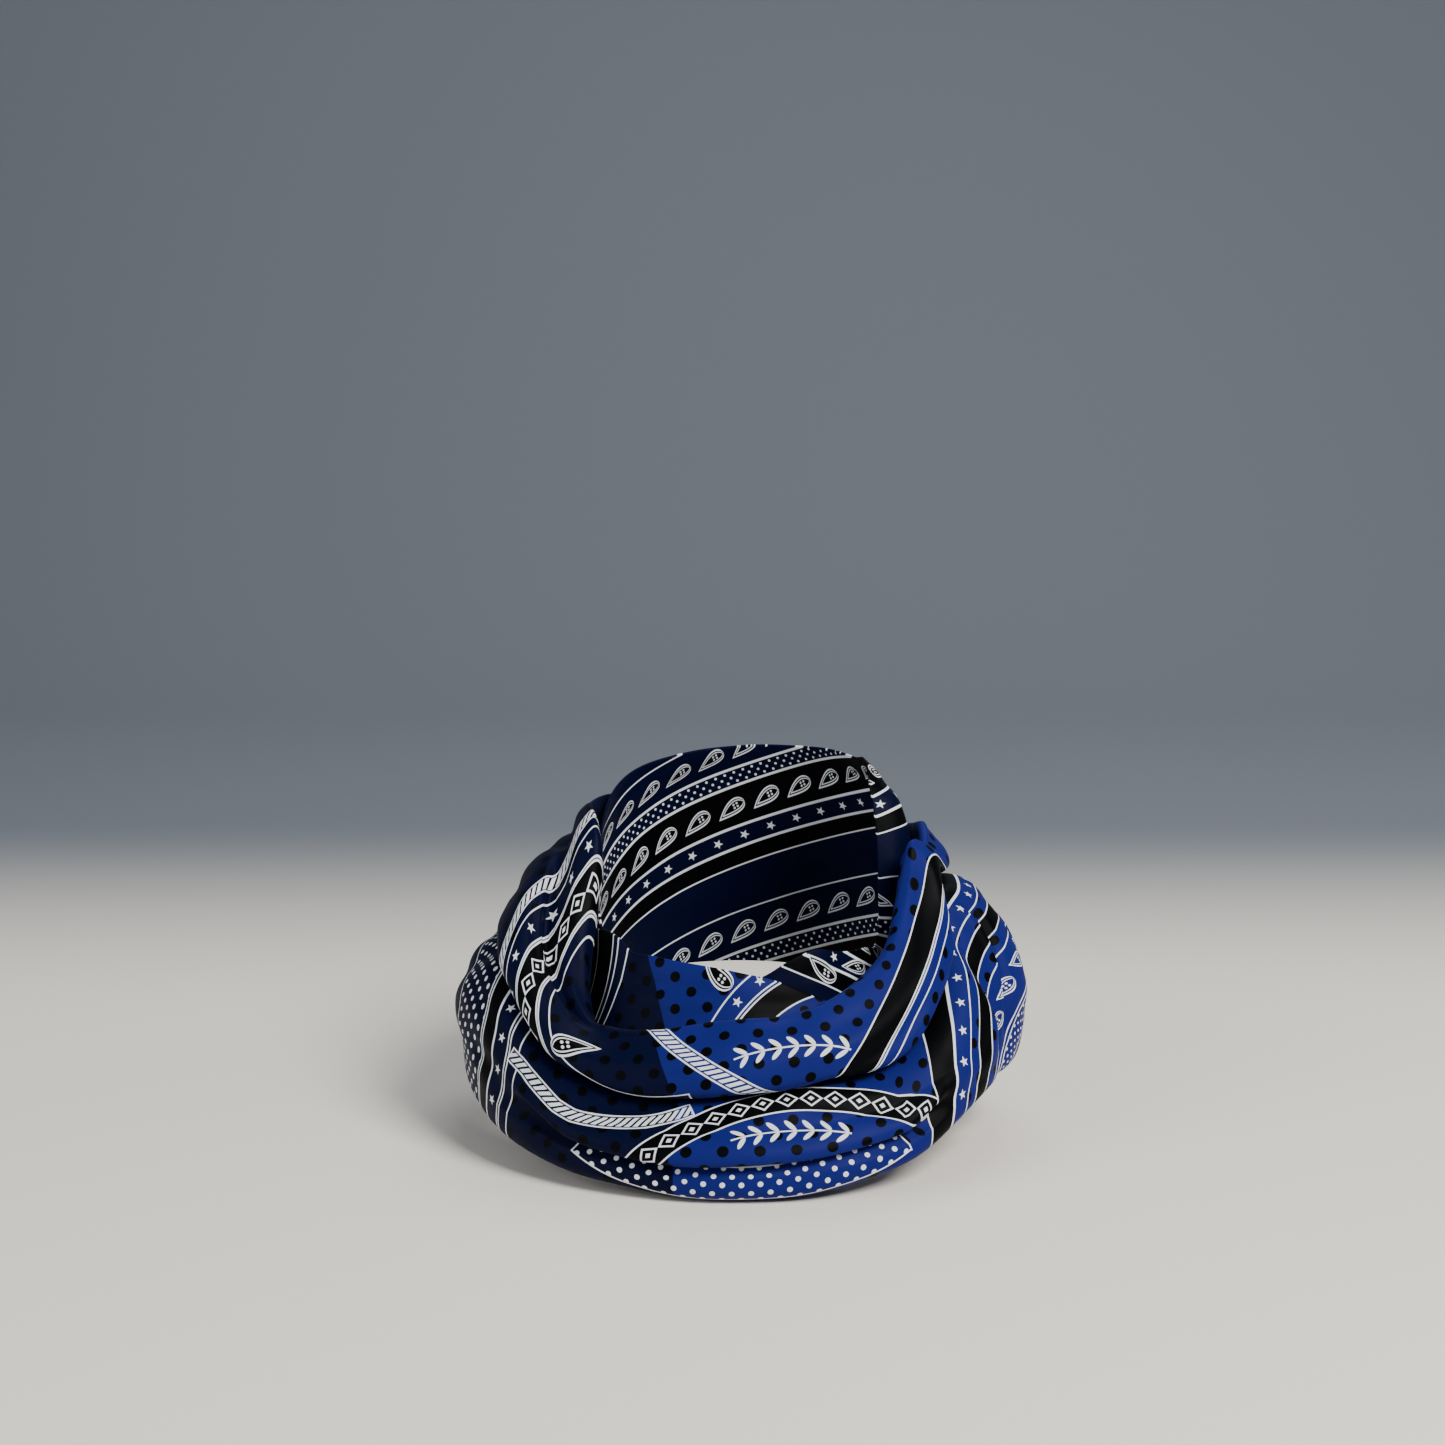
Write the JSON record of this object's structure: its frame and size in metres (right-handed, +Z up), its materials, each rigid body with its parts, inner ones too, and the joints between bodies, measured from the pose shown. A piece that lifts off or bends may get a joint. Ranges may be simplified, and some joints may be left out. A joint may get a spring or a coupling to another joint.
{
  "type": "silk bandana worn round the neck",
  "caption": "Square silk twill bandana folded into a band and wound round the neck as a cowl, in soft layered folds, with an open hollow for the neck.",
  "frame": {"origin": "centre of the neck opening, at the level where the wraps rest on the wearer's shoulders", "axes": "+Z up along the neck, -Y towards the front of the wearer, +X towards the right of a viewer who faces the front"},
  "size_m": [0.2182, 0.2101, 0.1369],
  "materials": {
    "dark_silk": "printed silk twill, soft sheen, darker navy ground",
    "blue_silk": "printed silk twill, soft sheen, royal blue to navy ground"
  },
  "bodies": {
    "root": {"collar": "dark_silk", "inner_fold": "blue_silk", "cowl": "blue_silk", "drape": "blue_silk"}
  },
  "joints": []
}
